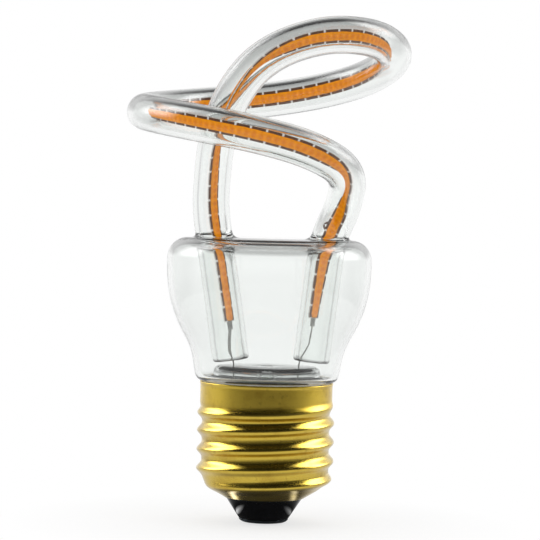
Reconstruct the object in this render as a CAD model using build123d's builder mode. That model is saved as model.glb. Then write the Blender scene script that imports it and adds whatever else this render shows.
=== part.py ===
"""Decorative LED bulb: a looped glass tube with a strip filament, on a bell neck and a screw cap.

Millimetres. The origin is the tip of the centre contact, on the axis of the cap, and +Z points up
through the bell. -Y is the front.
"""
import os
from math import cos, hypot, radians, sin, tan

from build123d import *

# Screw cap: a rolled shell with a plain collar, a rounded thread and a sloping floor.
# The thread's section is five flats round its crest.
cap_height = 26.9
thread_diameter = 26.2
thread_depth = 0.95
thread_pitch = 3.63
thread_width = 2.3
thread_shoulder_width = 1.6
thread_shoulder_share = 0.7
thread_crest_width = 0.7
thread_foot_gap = 0.8
thread_head_gap = 0.83
thread_bed = 0.14
collar_height = 4.6
collar_inset = 0.5
collar_step = 0.5
collar_bend = 0.4
shell_thickness = 0.3
shell_foot_height = 4.8
shell_foot_diameter = 15.2
shell_floor_rise = 2.8
shell_floor_bend = 1.6

# Insulator and centre contact at the foot of the cap
contact_diameter = 9.4
contact_flat_diameter = 6.4
contact_height = 0.8
contact_edge_height = 0.45
insulator_gap = 0.25
insulator_flange = 2.0
insulator_edge = 2.0
wire_hole_diameter = 1.4

# Bell of the glass envelope, with a spigot that stands in the collar
glass_wall = 1.0
bell_diameter = 39.0
bell_shoulder = 3.9
belly_height = 48.5
belly_band = 1.8
neck_height = 33.7
neck_diameter = 29.4
neck_bend = 6.0
neck_foot_diameter = 27.0
neck_foot_round_share = 0.42
spigot_depth = 4.3

# Cement between the spigot and the collar
cement_width = 0.7
cement_gap = 0.02
cement_inset = 0.3

# Looped tube: both legs lean outward from their open feet inside the bell
tube_diameter = 7.0
tube_wall = 0.9
leg_gap = 1.0
left_foot_x = -6.9
left_joint_margin = 1.0
left_bend_rise = 4.8
right_foot_x = 8.4
right_joint_margin = 0.6
right_bend_rise = 0.3
joint_fillet = 0.5
level_band = 0.01

# Loop: its upright axis, radius and height, and the corners that the tube bends round.
# Each corner is an angle round the axis in degrees, a share of the radius and a share of the rise.
loop_axis_x = -0.75
loop_axis_y = 3.15
loop_radius = 24.2
loop_rise = 38.4
rising_corners = [
    (201, 0.47, 0.26), (218, 0.515, 0.485), (242, 0.605, 0.715), (268, 0.71, 0.90), (299, 0.825, 1.0),
]
round_corners = [
    (328, 0.93, 1.0), (356, 0.985, 0.95), (382, 1.05, 0.89), (405, 1.10, 0.82), (427, 1.07, 0.755),
    (452, 1.025, 0.705), (478, 1.01, 0.675), (506, 1.01, 0.645), (535, 1.015, 0.62), (565, 1.005, 0.60),
]
falling_corners = [
    (595, 1.015, 0.56), (624, 1.04, 0.51), (649, 1.01, 0.44), (672, 0.93, 0.34), (690, 0.705, 0.185),
]
arc_share = 0.45

# Stem: a glass cup that closes the neck, with its sealed exhaust tube
stem_gap = 0.4
stem_rise = 3.1
stem_wall = 0.9
stem_flange_height = 0.8
stem_edge = 0.7
exhaust_diameter = 4.0
exhaust_bore = 2.2
exhaust_length = 6.0

# Filament: a flexible strip, coated on both faces, with a metal terminal at each end
strip_width = 3.3
strip_thickness = 0.2
coat_width = 2.4
coat_thickness = 0.4
coat_inset = 1.0
left_strip_rise = 7.2
right_strip_rise = 8.2
strip_roll = 125.0
terminal_width = 1.2
terminal_thickness = 0.3
terminal_length = 1.5

# Lead wires from the terminals through the stem to the driver board
left_lead_diameter = 0.6
right_lead_diameter = 0.3
lead_hole_gap = 0.03
left_lead_x = -6.3
right_lead_x = 5.9
lead_rise = 1.0
left_lead_bend = 1.6
right_lead_bend = 4.0
right_lead_bow = 1.5
left_solder_x = -5.0
right_solder_x = 5.0

# Driver: a round board with its parts, and the wires to the shell and the centre contact
board_diameter = 16.0
board_thickness = 1.0
board_drop = 4.8
chip_length = 4.9
chip_width = 3.9
chip_height = 1.5
rectifier_length = 4.7
rectifier_width = 4.0
rectifier_height = 1.6
part_offset = 4.4
capacitor_diameter = 5.0
capacitor_gap = 1.4
capacitor_edge = 0.6
capacitor_x = -4.2
resistor_width = 3.2
resistor_length = 6.3
resistor_height = 0.6
resistor_x = 4.2
shell_wire_diameter = 1.0
shell_wire_gap = 0.05
shell_wire_x = 7.2
shell_wire_rise = 2.4
shell_wire_angle = 135
contact_wire_diameter = 0.8

# Cap: sizes that follow from the driving dimensions
root_radius = thread_diameter / 2 - thread_depth
shell_bore = root_radius - shell_thickness
collar_radius = thread_diameter / 2 - collar_inset
collar_foot = cap_height - collar_height
floor_rim = shell_foot_height + shell_floor_rise
thread_foot = floor_rim + thread_foot_gap
thread_rise = collar_foot - thread_head_gap - thread_foot
thread_reach = thread_depth + thread_bed
shell_foot_radius = shell_foot_diameter / 2
floor_slope = shell_floor_rise / (root_radius - shell_foot_radius)
floor_thickness = shell_thickness * hypot(1, floor_slope)
plug_radius = shell_foot_radius - insulator_gap
flange_radius = plug_radius + insulator_flange
flange_foot = shell_foot_height + floor_thickness + insulator_gap
flange_rim = flange_foot + insulator_flange * floor_slope
insulator_top = flange_rim + insulator_edge

# Glass: sizes that follow from the driving dimensions
bell_radius = bell_diameter / 2
shoulder_foot = belly_height + belly_band
bell_top = shoulder_foot + bell_shoulder
neck_radius = neck_diameter / 2
neck_foot_radius = neck_foot_diameter / 2
spigot_radius = collar_radius - shell_thickness - cement_width
spigot_foot = cap_height - spigot_depth
neck_foot_round = neck_foot_round_share * (neck_foot_radius - spigot_radius)
stem_radius = spigot_radius - glass_wall - stem_gap
stem_bore = stem_radius - stem_wall
stem_top = cap_height + stem_rise
stem_foot = spigot_foot - stem_flange_height
exhaust_foot = stem_top - exhaust_length
tube_bore = tube_diameter - 2 * tube_wall
leg_foot_height = stem_top + leg_gap
joint_reach = bell_radius - bell_shoulder - joint_fillet - tube_diameter / 2
left_strip_height = leg_foot_height + left_strip_rise
right_strip_height = leg_foot_height + right_strip_rise

# Driver: sizes that follow from the driving dimensions
board_height = stem_foot - board_drop
board_top = board_height + board_thickness
capacitor_height = board_height - insulator_top - capacitor_gap
shell_wire_height = board_top + shell_wire_rise


def tangent_route(points):
    """Straight runs through the points, joined by arcs as large as the runs allow."""
    corners = [Vector(*point) for point in points]
    radii = []
    for before, corner, after in zip(corners, corners[1:], corners[2:]):
        turn = radians((corner - before).get_angle(after - corner))
        shorter_run = min((corner - before).length, (after - corner).length)
        radii.append(arc_share * shorter_run / tan(turn / 2))
    return FilletPolyline(*corners, radius=radii)


def loop_corner(angle, out, up):
    """A corner of the loop, from its angle and its shares of the radius and the rise."""
    return (
        loop_axis_x + out * loop_radius * cos(radians(angle)),
        loop_axis_y + out * loop_radius * sin(radians(angle)),
        bell_top + up * loop_rise,
    )


def on_leg(foot_x, joint_x, height):
    """The point of a leg's axis at a height, from its foot and its place in the bell's top."""
    share = (height - leg_foot_height) / (bell_top - leg_foot_height)
    return (foot_x + share * (joint_x - foot_x), 0, height)


def left_leg(height):
    """The point of the left leg's axis at a height."""
    return on_leg(left_foot_x, left_joint_margin - joint_reach, height)


def right_leg(height):
    """The point of the right leg's axis at a height."""
    return on_leg(right_foot_x, joint_reach - right_joint_margin, height)


def tube_route(left_height, right_height):
    """The tube's centreline, from a height in the left leg to a height in the right leg."""
    corners = [loop_corner(*corner) for corner in rising_corners + round_corners + falling_corners]
    legs_up = [left_leg(left_height), left_leg(bell_top + left_bend_rise)]
    legs_down = [right_leg(bell_top + right_bend_rise), right_leg(right_height)]
    return tangent_route(legs_up + corners + legs_down)


def strip_plane(route):
    """The plane across the start of the strip's route, with the strip's width along x."""
    return Plane(origin=route @ 0, x_dir=(1, 0, 0), z_dir=route % 0).rotated((0, 0, strip_roll))


# Glass envelope: the blown bell, with the tube run through its top
with BuildPart() as glass_envelope:
    with BuildSketch(Plane.XZ) as bell_section:
        with BuildLine():
            Polyline(
                (0, bell_top),
                (0, spigot_foot),
                (spigot_radius, spigot_foot),
                (spigot_radius, cap_height),
                (neck_foot_radius, cap_height),
                (neck_radius, neck_height),
            )
            TangentArc((bell_radius, belly_height), (neck_radius, neck_height), tangent=(0, -1))
            Line((bell_radius, belly_height), (bell_radius, shoulder_foot))
            TangentArc((bell_radius, shoulder_foot), (bell_radius - bell_shoulder, bell_top), tangent=(0, 1))
            Line((bell_radius - bell_shoulder, bell_top), (0, bell_top))
        make_face()
        neck_corner = bell_section.vertices().sort_by_distance((neck_radius, neck_height))[0]
        fillet(neck_corner, radius=neck_bend)
        foot_corner = bell_section.vertices().sort_by_distance((neck_foot_radius, cap_height))[0]
        fillet(foot_corner, radius=neck_foot_round)
    revolve(axis=Axis.Z)
    offset(amount=-glass_wall, openings=glass_envelope.faces().sort_by(Axis.Z)[0])
    with BuildLine() as tube_line:
        tube_route(leg_foot_height, leg_foot_height)
    tube_path = tube_line.wires()[0]
    with BuildSketch(Plane(origin=tube_path @ 0, z_dir=tube_path % 0)):
        Circle(tube_diameter / 2)
    sweep(path=tube_path)
    for level in (bell_top, bell_top - glass_wall):
        edges = glass_envelope.edges()
        level_edges = edges.filter_by_position(Axis.Z, level - level_band, level + level_band)
        fillet(level_edges.filter_by(GeomType.CIRCLE, reverse=True), radius=joint_fillet)
    with BuildSketch(Plane(origin=tube_path @ 0, z_dir=tube_path % 0)):
        Circle(tube_bore / 2)
    sweep(path=tube_path, mode=Mode.SUBTRACT)

# Stem: the cup that closes the neck, with its flange under the spigot and the exhaust tube
with BuildPart() as glass_stem:
    with BuildSketch(Plane.XZ) as stem_section:
        with BuildLine():
            Polyline(
                (exhaust_bore / 2, stem_top),
                (stem_radius, stem_top),
                (stem_radius, spigot_foot),
                (spigot_radius, spigot_foot),
                (spigot_radius, stem_foot),
                (stem_bore, stem_foot),
                (stem_bore, stem_top - stem_wall),
                (exhaust_diameter / 2, stem_top - stem_wall),
                (exhaust_diameter / 2, exhaust_foot + exhaust_diameter / 2),
                (0, exhaust_foot),
                (0, exhaust_foot + exhaust_diameter / 2),
                (exhaust_bore / 2, exhaust_foot + exhaust_diameter),
                (exhaust_bore / 2, stem_top),
            )
        make_face()
        fillet(stem_section.vertices().sort_by_distance((stem_radius, stem_top))[0], radius=stem_edge)
    revolve(axis=Axis.Z)
    with Locations((left_lead_x, 0, stem_top)):
        Hole(left_lead_diameter / 2 + lead_hole_gap, depth=2 * stem_wall)
    with Locations((right_lead_x, 0, stem_top)):
        Hole(right_lead_diameter / 2 + lead_hole_gap, depth=2 * stem_wall)

# Filament strip and its two coats, laid along the tube's centreline
with BuildPart() as filament_strip:
    with BuildLine() as strip_line:
        tube_route(left_strip_height, right_strip_height)
    strip_path = strip_line.wires()[0]
    with BuildSketch(strip_plane(strip_path)):
        Rectangle(strip_width, strip_thickness)
    sweep(path=strip_path)

with BuildLine() as coat_line:
    tube_route(left_strip_height + coat_inset, right_strip_height + coat_inset)
coat_path = coat_line.wires()[0]
coat_offset = (strip_thickness + coat_thickness) / 2

with BuildPart() as front_coat:
    with BuildSketch(strip_plane(coat_path)):
        with Locations((0, -coat_offset)):
            Rectangle(coat_width, coat_thickness)
    sweep(path=coat_path)

with BuildPart() as back_coat:
    with BuildSketch(strip_plane(coat_path)):
        with Locations((0, coat_offset)):
            Rectangle(coat_width, coat_thickness)
    sweep(path=coat_path)

# Terminals: tabs that carry the strip on at its two ends
with BuildPart() as left_terminal:
    with BuildSketch(strip_plane(strip_path)):
        Rectangle(terminal_width, terminal_thickness)
    extrude(amount=-terminal_length)

strip_end = filament_strip.faces().sort_by_distance(strip_path @ 1)[0]
strip_end_width = strip_end.edges().sort_by(SortBy.LENGTH)[-1] % 0.5

with BuildPart() as right_terminal:
    with BuildSketch(Plane(origin=strip_path @ 1, x_dir=strip_end_width, z_dir=strip_path % 1)):
        Rectangle(terminal_width, terminal_thickness)
    extrude(amount=terminal_length)

# Lead wires: from the terminals out of the open feet of the tube, through the stem to the board
left_tip = strip_path @ 0 - (strip_path % 0) * terminal_length
right_tip = strip_path @ 1 + (strip_path % 1) * terminal_length

with BuildPart() as left_lead:
    with BuildLine() as left_lead_line:
        tangent_route([
            left_tip,
            left_leg(leg_foot_height + left_lead_bend),
            (left_lead_x, 0, stem_top + lead_rise),
            (left_lead_x, 0, stem_foot),
            (left_solder_x, 0, board_top + lead_rise),
            (left_solder_x, 0, board_top),
        ])
    left_lead_path = left_lead_line.wires()[0]
    with BuildSketch(Plane(origin=left_lead_path @ 0, z_dir=left_lead_path % 0)):
        Circle(left_lead_diameter / 2)
    sweep(path=left_lead_path)

with BuildPart() as right_lead:
    with BuildLine() as right_lead_line:
        tangent_route([
            right_tip,
            right_leg(leg_foot_height + right_lead_bend),
            (right_lead_x + right_lead_bow, 0, leg_foot_height + right_lead_bend / 2),
            (right_lead_x, 0, stem_top + lead_rise),
            (right_lead_x, 0, stem_foot),
            (right_solder_x, 0, board_top + lead_rise),
            (right_solder_x, 0, board_top),
        ])
    right_lead_path = right_lead_line.wires()[0]
    with BuildSketch(Plane(origin=right_lead_path @ 0, z_dir=right_lead_path % 0)):
        Circle(right_lead_diameter / 2)
    sweep(path=right_lead_path)

# Screw shell: thin sheet with a plain collar over a rounded right-hand thread and a sloping floor
with BuildPart() as screw_shell:
    with BuildSketch(Plane.XZ):
        with BuildLine():
            FilletPolyline(
                (shell_foot_radius, shell_foot_height),
                (root_radius, floor_rim),
                (root_radius, collar_foot - collar_step),
                (collar_radius, collar_foot),
                (collar_radius, cap_height),
                radius=[shell_floor_bend, collar_bend, collar_bend],
            )
            offset(amount=shell_thickness, side=Side.LEFT)
        make_face()
    revolve(axis=Axis.Z)
    with BuildLine() as thread_line:
        Helix(thread_pitch, thread_rise, root_radius - thread_bed, center=(0, 0, thread_foot))
    thread_path = thread_line.wires()[0]
    with BuildSketch(Plane(origin=thread_path @ 0, x_dir=(1, 0, 0), z_dir=thread_path % 0)):
        with BuildLine():
            Polyline(
                (0, -thread_width / 2),
                (thread_reach * thread_shoulder_share, -thread_shoulder_width / 2),
                (thread_reach, -thread_crest_width / 2),
                (thread_reach, thread_crest_width / 2),
                (thread_reach * thread_shoulder_share, thread_shoulder_width / 2),
                (0, thread_width / 2),
                close=True,
            )
        make_face()
    sweep(path=thread_path, is_frenet=True)

# Base insulator: a cone under the shell, held by a flange on the shell's sloping floor
with BuildPart() as base_insulator:
    with BuildSketch(Plane.XZ):
        with BuildLine():
            Polyline(
                (wire_hole_diameter / 2, contact_height),
                (contact_diameter / 2, contact_height),
                (plug_radius, shell_foot_height),
                (plug_radius, flange_foot),
                (flange_radius, flange_rim),
                (flange_radius, insulator_top),
                (wire_hole_diameter / 2, insulator_top),
                close=True,
            )
        make_face()
    revolve(axis=Axis.Z)

# Centre contact: a flat button with a rounded edge
with BuildPart() as centre_contact:
    with BuildSketch(Plane.XZ):
        with BuildLine():
            Polyline(
                (contact_flat_diameter / 2, 0),
                (0, 0),
                (0, contact_height),
                (contact_diameter / 2, contact_height),
                (contact_diameter / 2, contact_edge_height),
            )
            TangentArc(
                (contact_flat_diameter / 2, 0), (contact_diameter / 2, contact_edge_height), tangent=(1, 0)
            )
        make_face()
    revolve(axis=Axis.Z)

# Basing cement: the ring that holds the glass spigot in the collar
with BuildPart() as basing_cement:
    with BuildSketch(Plane.XY.offset(collar_foot + collar_bend)):
        Circle(collar_radius - shell_thickness - cement_gap)
        Circle(spigot_radius + cement_gap, mode=Mode.SUBTRACT)
    extrude(amount=collar_height - collar_bend - cement_inset)

# Driver board and the parts soldered to it
with BuildPart() as driver_board:
    with BuildSketch(Plane.XY.offset(board_height)):
        Circle(board_diameter / 2)
    extrude(amount=board_thickness)

with BuildPart() as driver_chip:
    with BuildSketch(Plane.XY.offset(board_top)):
        with Locations((0, -part_offset)):
            Rectangle(chip_length, chip_width)
    extrude(amount=chip_height)

with BuildPart() as bridge_rectifier:
    with BuildSketch(Plane.XY.offset(board_top)):
        with Locations((0, part_offset)):
            Rectangle(rectifier_length, rectifier_width)
    extrude(amount=rectifier_height)

with BuildPart() as smoothing_capacitor:
    with BuildSketch(Plane.XY.offset(board_height)):
        with Locations((capacitor_x, 0)):
            Circle(capacitor_diameter / 2)
    extrude(amount=-capacitor_height)
    fillet(smoothing_capacitor.edges().sort_by(Axis.Z)[0], radius=capacitor_edge)

with BuildPart() as fuse_resistor:
    with BuildSketch(Plane.XY.offset(board_height)):
        with Locations((resistor_x, 0)):
            Rectangle(resistor_width, resistor_length)
    extrude(amount=-resistor_height)

# Wires from the board to the shell's wall and to the centre contact
with BuildPart() as shell_wire:
    with BuildLine() as shell_wire_line:
        FilletPolyline(
            (shell_wire_x, 0, board_top),
            (shell_wire_x, 0, shell_wire_height),
            (shell_bore - shell_wire_gap, 0, shell_wire_height),
            radius=shell_wire_diameter,
        )
    shell_wire_path = shell_wire_line.wires()[0].rotate(Axis.Z, shell_wire_angle)
    with BuildSketch(Plane(origin=shell_wire_path @ 0, z_dir=shell_wire_path % 0)):
        Circle(shell_wire_diameter / 2)
    sweep(path=shell_wire_path)

with BuildPart() as contact_wire:
    with BuildSketch(Plane.XY.offset(contact_height)):
        Circle(contact_wire_diameter / 2)
    extrude(amount=board_height - contact_height)

pieces = {
    "glass_envelope": glass_envelope,
    "glass_stem": glass_stem,
    "filament_strip": filament_strip,
    "front_coat": front_coat,
    "back_coat": back_coat,
    "left_terminal": left_terminal,
    "right_terminal": right_terminal,
    "left_lead": left_lead,
    "right_lead": right_lead,
    "screw_shell": screw_shell,
    "base_insulator": base_insulator,
    "centre_contact": centre_contact,
    "basing_cement": basing_cement,
    "driver_board": driver_board,
    "driver_chip": driver_chip,
    "bridge_rectifier": bridge_rectifier,
    "smoothing_capacitor": smoothing_capacitor,
    "fuse_resistor": fuse_resistor,
    "shell_wire": shell_wire,
    "contact_wire": contact_wire,
}
os.makedirs("parts", exist_ok=True)
for name, piece in pieces.items():
    piece.part.label = name
    export_step(piece.part, f"parts/{name}.step")
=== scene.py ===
"""Looks of a decorative LED bulb: a looped glass tube, a coated strip filament and a brass screw cap.

Metres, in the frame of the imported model. The origin is the tip of the centre contact, +Z runs up the
axis of the cap and -Y is the front.
"""
from math import asin, ceil, cos, pi, radians, sin, tau

import bmesh
import bpy
from bpy.props import FloatProperty, FloatVectorProperty, IntProperty, PointerProperty
from bpy.types import Operator, Panel, PropertyGroup
from mathutils import Matrix, Vector, noise


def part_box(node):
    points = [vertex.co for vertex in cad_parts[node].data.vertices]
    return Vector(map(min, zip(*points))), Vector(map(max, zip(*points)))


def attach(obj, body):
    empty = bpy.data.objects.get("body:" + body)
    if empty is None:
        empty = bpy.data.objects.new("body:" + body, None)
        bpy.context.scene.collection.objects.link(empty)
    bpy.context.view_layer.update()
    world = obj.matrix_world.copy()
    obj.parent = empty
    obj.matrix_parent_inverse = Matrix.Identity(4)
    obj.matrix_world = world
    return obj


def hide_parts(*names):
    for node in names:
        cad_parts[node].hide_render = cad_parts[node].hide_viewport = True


bl_info = {
    "name": "Looped filament bulb",
    "version": (1, 0, 0),
    "blender": (4, 5, 0),
    "location": "3D View > Sidebar > Bulb",
    "description": "Glass, filament, cap and studio for the packed bulb",
    "category": "Object",
}

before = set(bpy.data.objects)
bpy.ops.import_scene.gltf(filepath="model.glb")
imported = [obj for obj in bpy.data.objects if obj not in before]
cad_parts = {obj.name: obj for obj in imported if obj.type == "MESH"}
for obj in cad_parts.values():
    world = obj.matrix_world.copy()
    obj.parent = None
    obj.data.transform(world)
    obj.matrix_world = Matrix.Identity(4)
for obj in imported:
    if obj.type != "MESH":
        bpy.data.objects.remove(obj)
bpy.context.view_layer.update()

# Places that the frame gives
shell_low, shell_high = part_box("screw_shell")
stem_low, stem_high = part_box("glass_stem")
insulator_low, insulator_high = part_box("base_insulator")
cement_low, cement_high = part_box("basing_cement")
contact_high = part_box("centre_contact")[1]
cap_height = shell_high.z
thread_radius = shell_high.x
shell_foot_height = shell_low.z
spigot_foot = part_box("glass_envelope")[0].z
spigot_radius = stem_high.x
stem_top = stem_high.z
stem_foot = stem_low.z
board_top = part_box("driver_board")[1].z

# Bell of the glass, with the sizes of the part's source and bends of its own at the neck
bell_radius = 0.0195
bell_shoulder = 0.0039
belly_height = 0.0485
belly_band = 0.0018
neck_height = 0.0337
neck_radius = 0.0147
neck_bend = 0.003
neck_foot_radius = 0.0135
neck_foot_round = 0.0016
shoulder_foot = belly_height + belly_band
bell_top = shoulder_foot + bell_shoulder
flat_radius = bell_radius - bell_shoulder

# Legs of the tube, as in the part's source
leg_gap = 0.001
leg_foot_height = stem_top + leg_gap
left_foot_x = -0.0069
left_joint_x = -0.0106
left_bend_rise = 0.0048
right_foot_x = 0.0084
right_joint_x = 0.011
right_bend_rise = 0.0003

# Loop: its upright axis, radius and rise, and the corners that the tube bends round.
# Each corner is an angle round the axis in degrees, a share of the radius and a share of the rise.
loop_axis_x = -0.00075
loop_axis_y = 0.00315
loop_radius = 0.0242
loop_rise = 0.0384
rising_corners = [
    (201, 0.47, 0.26), (218, 0.515, 0.485), (242, 0.605, 0.715), (268, 0.71, 0.90), (299, 0.825, 1.0),
]
round_corners = [
    (328, 0.93, 1.0), (356, 0.985, 0.95), (382, 1.05, 0.89), (405, 1.10, 0.82), (427, 1.07, 0.755),
    (452, 1.025, 0.705), (478, 1.01, 0.675), (506, 1.01, 0.645), (535, 1.015, 0.62), (565, 1.005, 0.60),
]
falling_corners = [
    (595, 1.015, 0.56), (624, 1.04, 0.51), (649, 1.01, 0.44), (672, 0.93, 0.34), (690, 0.705, 0.185),
]

# Twist of the strip in the photograph: a share of its length and the turn there, in degrees,
# against a strip that only follows the tube
strip_twists = [
    (0.0, 104), (0.116, 102), (0.135, 112), (0.155, 128), (0.174, 132), (0.193, 124), (0.209, 106),
    (0.22, 86), (0.232, 68), (0.253, 51), (0.293, 49), (0.332, 46), (0.371, 37), (0.41, 26),
    (0.452, 14), (0.49, 5), (0.695, 2), (0.827, 1), (0.846, 9), (0.866, 52), (0.877, 98), (0.887, 128),
    (0.896, 112), (0.907, 94), (0.916, 81), (0.927, 59), (0.947, 42), (0.966, 20), (1.0, -4),
]

# Shares of the strip's length: where the loop's bends pull it to their inner side and how fast that
# fades, how much of each end leans, and where the eyelet sits
pull_start = 0.2
pull_end = 0.8
pull_fade = 0.08
left_lean_share = 0.2
right_lean_share = 0.08
eyelet_share = 0.93

# Stations on either side over which the strip's twist is evened out and its bend is read
twist_window = 20

# Ends of the thread, counted in turns: where it rises before its first full crest and how fast, how
# long it runs out, and where its last crest starts to dip and how fast
run_in_start = 0.65
run_in_turns = 0.4
run_out_turns = 0.3
dip_start = 0.5
dip_turns = 0.6

# Height of the grain in the bumps
grain_depth = 0.0001

# Brightness of the studio for gloss and glass. The first number is the height of a direction, or how
# far it points to the back, from 0 for straight down or to the front up to 1. For the sides, which
# only glass sees, it is how far a direction turns away from them.
studio_climb = [
    (0.0, 0.95), (0.38, 0.95), (0.47, 1.0), (0.515, 1.0), (0.545, 0.74), (0.58, 0.55), (0.66, 0.47),
    (0.75, 0.32), (0.81, 0.1), (1.0, 0.07),
]
studio_sides = [(0.0, 0.93), (0.14, 0.88), (0.32, 0.54), (0.44, 0.6), (0.7, 0.94), (0.86, 1.0)]
studio_around = [
    (0.0, 0.14), (0.2, 0.16), (0.5, 0.36), (0.735, 0.34), (0.82, 0.5), (0.91, 0.92), (0.96, 1.0),
]
studio_panel = [(0.52, 0.0), (0.66, 1.0), (0.88, 1.0), (0.97, 0.0)]
studio_panel_around = [(0.43, 0.0), (0.56, 1.0), (0.7, 1.0), (0.84, 0.14), (1.0, 0.05)]

# Brightness of the floor: two distances, and what holds at each. For the camera it fades to white away from
# the part.
# In reflections the floor carries painted light: a painted shadow under the part, a painted streak of light
# on either side of the insulator that is weaker on the right and paints its highlights, and painted shade to
# the front.
# Glass sees it pale all over.
floor_fade = ((0.004, 0.05), (0.7, 1.0))
floor_painted_shadow = ((0.009, 0.017), (0.05, 0.75))
floor_painted_streak = ((0.0064, 0.0076), (0.0, 3.2))
floor_painted_streak_end = ((0.0077, 0.0086), (1.0, 0.0))
floor_painted_streak_right = ((-0.001, 0.001), (1.0, 0.4))
floor_painted_front_shade = ((-0.13, -0.03), (0.16, 1.0))
floor_in_glass = 0.95
floor_white = (0.94, 0.94, 0.94)
floor_drop = 0.0002

# Softboxes: a place, a width, a height and a share of the brightness that the settings give
softboxes = {
    "left_softbox": ((-0.5, -0.32, 0.28), 0.26, 0.5, 1.0),
    "right_softbox": ((0.5, -0.3, 0.26), 0.22, 0.5, 0.8),
    "top_softbox": ((0.05, 0.1, 0.7), 0.4, 0.3, 0.5),
}
softbox_aim = Vector((0, 0, 0.05))
camera_x = 0.00014
camera_clip = 0.01
sensor_width = 36

# Fineness of the meshes
station_spacing = 0.0006
strip_spacing = 0.00021
shell_spacing = 0.00016
route_resolution = 24
bell_segments = 112
shell_segments = 160
wire_segments = 12
eyelet_segments = 28
floor_segments = 96
flare_steps = 7
joint_steps = 4
lip_steps = 6
dome_steps = 10
bend_steps = 5
fine_bend_steps = 8
arc_step = radians(5)
weld_distance = 1e-7


class GlassSettings(PropertyGroup):
    """Sizes and tint of the blown glass."""

    tube_diameter: FloatProperty(
        name="Tube diameter", description="Outside of the bent tube", default=0.007, unit="LENGTH"
    )
    tube_wall: FloatProperty(
        name="Tube wall", description="Thickness of the tube's glass", default=0.001, unit="LENGTH"
    )
    tube_segments: IntProperty(
        name="Tube segments", description="Faces round the tube", default=48, min=12
    )
    bell_wall: FloatProperty(
        name="Bell wall", description="Thickness of the bell's glass", default=0.001, unit="LENGTH"
    )
    flare: FloatProperty(
        name="Flare", description="Width of the fused joint round each leg", default=0.0008, unit="LENGTH"
    )
    flare_swell: FloatProperty(
        name="Flare swell", description="Extra width of the joint on its inner side",
        default=0.0007, unit="LENGTH",
    )
    tint: FloatVectorProperty(
        name="Tint", description="Colour of light through the glass",
        default=(0.965, 0.98, 0.97), subtype="COLOR",
    )


class FilamentSettings(PropertyGroup):
    """Sizes and colours of the coated strip."""

    strip_width: FloatProperty(
        name="Strip width", description="Width over the copper lands", default=0.0028, unit="LENGTH"
    )
    strip_thickness: FloatProperty(
        name="Strip thickness", description="Thickness of the bare strip", default=0.0002, unit="LENGTH"
    )
    strip_roll: FloatProperty(
        name="Strip roll", description="Turn of the strip about its line at the left end",
        default=radians(125), subtype="ANGLE",
    )
    strip_pull: FloatProperty(
        name="Strip pull", description="How far the loop's bends pull the strip off the tube's centre",
        default=0.0012, unit="LENGTH",
    )
    strip_sag: FloatProperty(
        name="Strip sag", description="How far those bends pull the strip along its own width",
        default=0.0006, unit="LENGTH",
    )
    end_lean: FloatProperty(
        name="End lean", description="How far the strip's ends lean to the middle of the bell",
        default=0.0007, unit="LENGTH",
    )
    left_rise: FloatProperty(
        name="Left end", description="Height of the strip's left end above the foot",
        default=0.0072, unit="LENGTH",
    )
    right_rise: FloatProperty(
        name="Right end", description="Height of the strip's right end above the foot",
        default=0.0082, unit="LENGTH",
    )
    land_pitch: FloatProperty(
        name="Land pitch", description="Distance from land to land", default=0.00285, unit="LENGTH"
    )
    land_gap: FloatProperty(
        name="Land gap", description="Bare strip between two lands", default=0.00042, unit="LENGTH"
    )
    land_width: FloatProperty(
        name="Land width", description="Width of the copper along each edge",
        default=0.0006, unit="LENGTH",
    )
    land_rise: FloatProperty(
        name="Land rise", description="Thickness of the copper on the strip",
        default=0.00004, unit="LENGTH",
    )
    coat_width: FloatProperty(
        name="Coat width", description="Width of the phosphor", default=0.0018, unit="LENGTH"
    )
    coat_height: FloatProperty(
        name="Coat height", description="Height of the phosphor over the strip",
        default=0.0004, unit="LENGTH",
    )
    coat_inset: FloatProperty(
        name="Coat inset", description="Bare strip at each end", default=0.0002, unit="LENGTH"
    )
    chip_pitch: FloatProperty(
        name="Chip pitch", description="Distance between the chips under the coat",
        default=0.00137, unit="LENGTH",
    )
    coat_unevenness: FloatProperty(
        name="Coat unevenness", description="Share by which the phosphor's width wanders",
        default=0.07, subtype="FACTOR",
    )
    phosphor: FloatVectorProperty(
        name="Phosphor", description="Colour of the coat", default=(0.98, 0.335, 0.002), subtype="COLOR"
    )
    phosphor_deep: FloatVectorProperty(
        name="Deep phosphor", description="Colour of the coat's darker specks",
        default=(0.78, 0.2, 0.001), subtype="COLOR",
    )
    # The lands' dark brown is painted shade: the copper is coloured as dark as it looks in shadow
    copper: FloatVectorProperty(
        name="Copper", description="Colour of the darkened lands",
        default=(0.13, 0.06, 0.03), subtype="COLOR",
    )
    backing: FloatVectorProperty(
        name="Backing", description="Colour of the bare strip", default=(0.8, 0.78, 0.74), subtype="COLOR"
    )


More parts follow.
